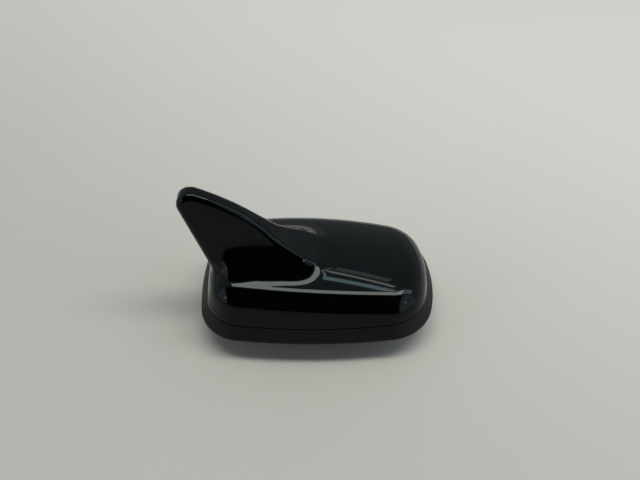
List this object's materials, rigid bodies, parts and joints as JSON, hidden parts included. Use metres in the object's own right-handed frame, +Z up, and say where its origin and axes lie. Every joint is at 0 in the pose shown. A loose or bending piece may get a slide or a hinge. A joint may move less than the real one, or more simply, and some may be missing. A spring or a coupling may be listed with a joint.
{
  "type": "shark fin aerial",
  "caption": "Gloss black roof aerial with a swept fin on a low crowned foot, a rubber roof seal and a hollow stem with coaxial sockets, which receives telephone and satellite signals.",
  "frame": {"origin": "on the axis of the roof stem, in the plane of the roof skin, which is the underside of the roof seal", "axes": "+X points forward along the vehicle, from the fin's tip to the nose; +Y points to the vehicle's left; +Z points up out of the roof"},
  "size_m": [0.1099, 0.066, 0.0717],
  "materials": {
    "cover_gloss": "polished black lacquer on a moulding",
    "seal_rubber": "matte moulded rubber",
    "base_casting": "blasted die casting",
    "gasket_foam": "matte foam rubber",
    "screw_steel": "zinc plated",
    "board_laminate": "solder resist on glass laminate",
    "pad_adhesive": "matte foam tape",
    "patch_ceramic": "fired ceramic with a silvered top",
    "contact_brass": "gold flashed brass",
    "holder_plastic": "natural moulded plastic",
    "tin_plate": "bright tin plate",
    "chip_resin": "matte moulding resin",
    "socket_plastic": "matte moulded plastic",
    "socket_nickel": "nickel plated",
    "insulator_plastic": "white moulded plastic",
    "ring_steel": "spring steel"
  },
  "bodies": {
    "root": {"fin_cover": "cover_gloss", "roof_seal": "seal_rubber", "base_plate": "base_casting", "cover_gasket": "gasket_foam", "cover_screws": "screw_steel", "main_board": "board_laminate", "board_screws": "screw_steel", "patch_pad": "pad_adhesive", "patch_antenna": "patch_ceramic", "patch_pin": "contact_brass", "phone_element": "board_laminate", "element_holder": "holder_plastic", "shield_can": "tin_plate", "amplifier_chip": "chip_resin", "saw_filter": "chip_resin", "socket_block": "socket_plastic", "phone_shell": "socket_nickel", "satellite_shell": "socket_nickel", "phone_insulator": "insulator_plastic", "satellite_insulator": "insulator_plastic", "phone_contact": "contact_brass", "satellite_contact": "contact_brass", "earth_ring": "ring_steel"}
  },
  "joints": []
}
